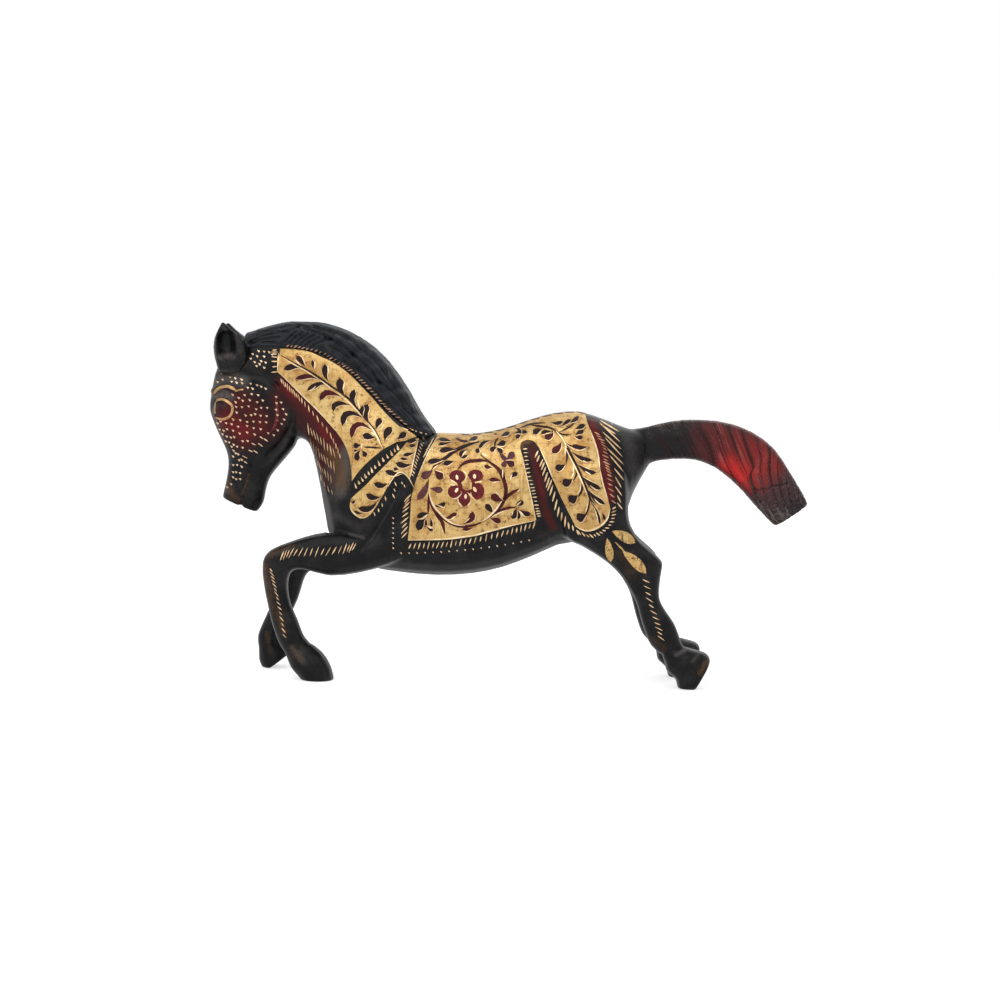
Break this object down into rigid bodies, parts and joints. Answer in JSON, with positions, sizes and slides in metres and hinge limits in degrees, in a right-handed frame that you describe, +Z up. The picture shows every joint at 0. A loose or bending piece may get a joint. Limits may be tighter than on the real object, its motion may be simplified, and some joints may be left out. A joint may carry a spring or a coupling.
{
  "type": "horse statue",
  "caption": "Running horse ornament of cast, engraved and lacquered brass, with a hollow trunk, solid legs, mane comb and long tail, standing on its hooves.",
  "frame": {"origin": "on the ground, under the middle of the figure's box", "axes": "+Z up, the horse runs towards -X, its left side is -Y"},
  "size_m": [0.2094, 0.0428, 0.1232],
  "materials": {
    "black_lacquer": "glossy black lacquer over cast brass",
    "maroon_lacquer": "maroon to black lacquer over cast brass",
    "red_lacquer": "red to black lacquer over cast brass",
    "bare_brass": "bare brass, brushed"
  },
  "bodies": {
    "root": {"trunk_shell_left": "black_lacquer", "trunk_shell_right": "black_lacquer", "head_and_neck": "maroon_lacquer", "mane_comb": "black_lacquer", "ear_left": "black_lacquer", "ear_right": "black_lacquer", "foreleg_left": "black_lacquer", "foreleg_right": "black_lacquer", "hindleg_left": "black_lacquer", "hindleg_right": "black_lacquer", "tail": "red_lacquer", "dowel_withers": "bare_brass", "dowel_croup": "bare_brass", "dowel_brisket": "bare_brass", "dowel_flank": "bare_brass", "mane_pin_upper": "bare_brass", "mane_pin_lower": "bare_brass"}
  },
  "joints": []
}
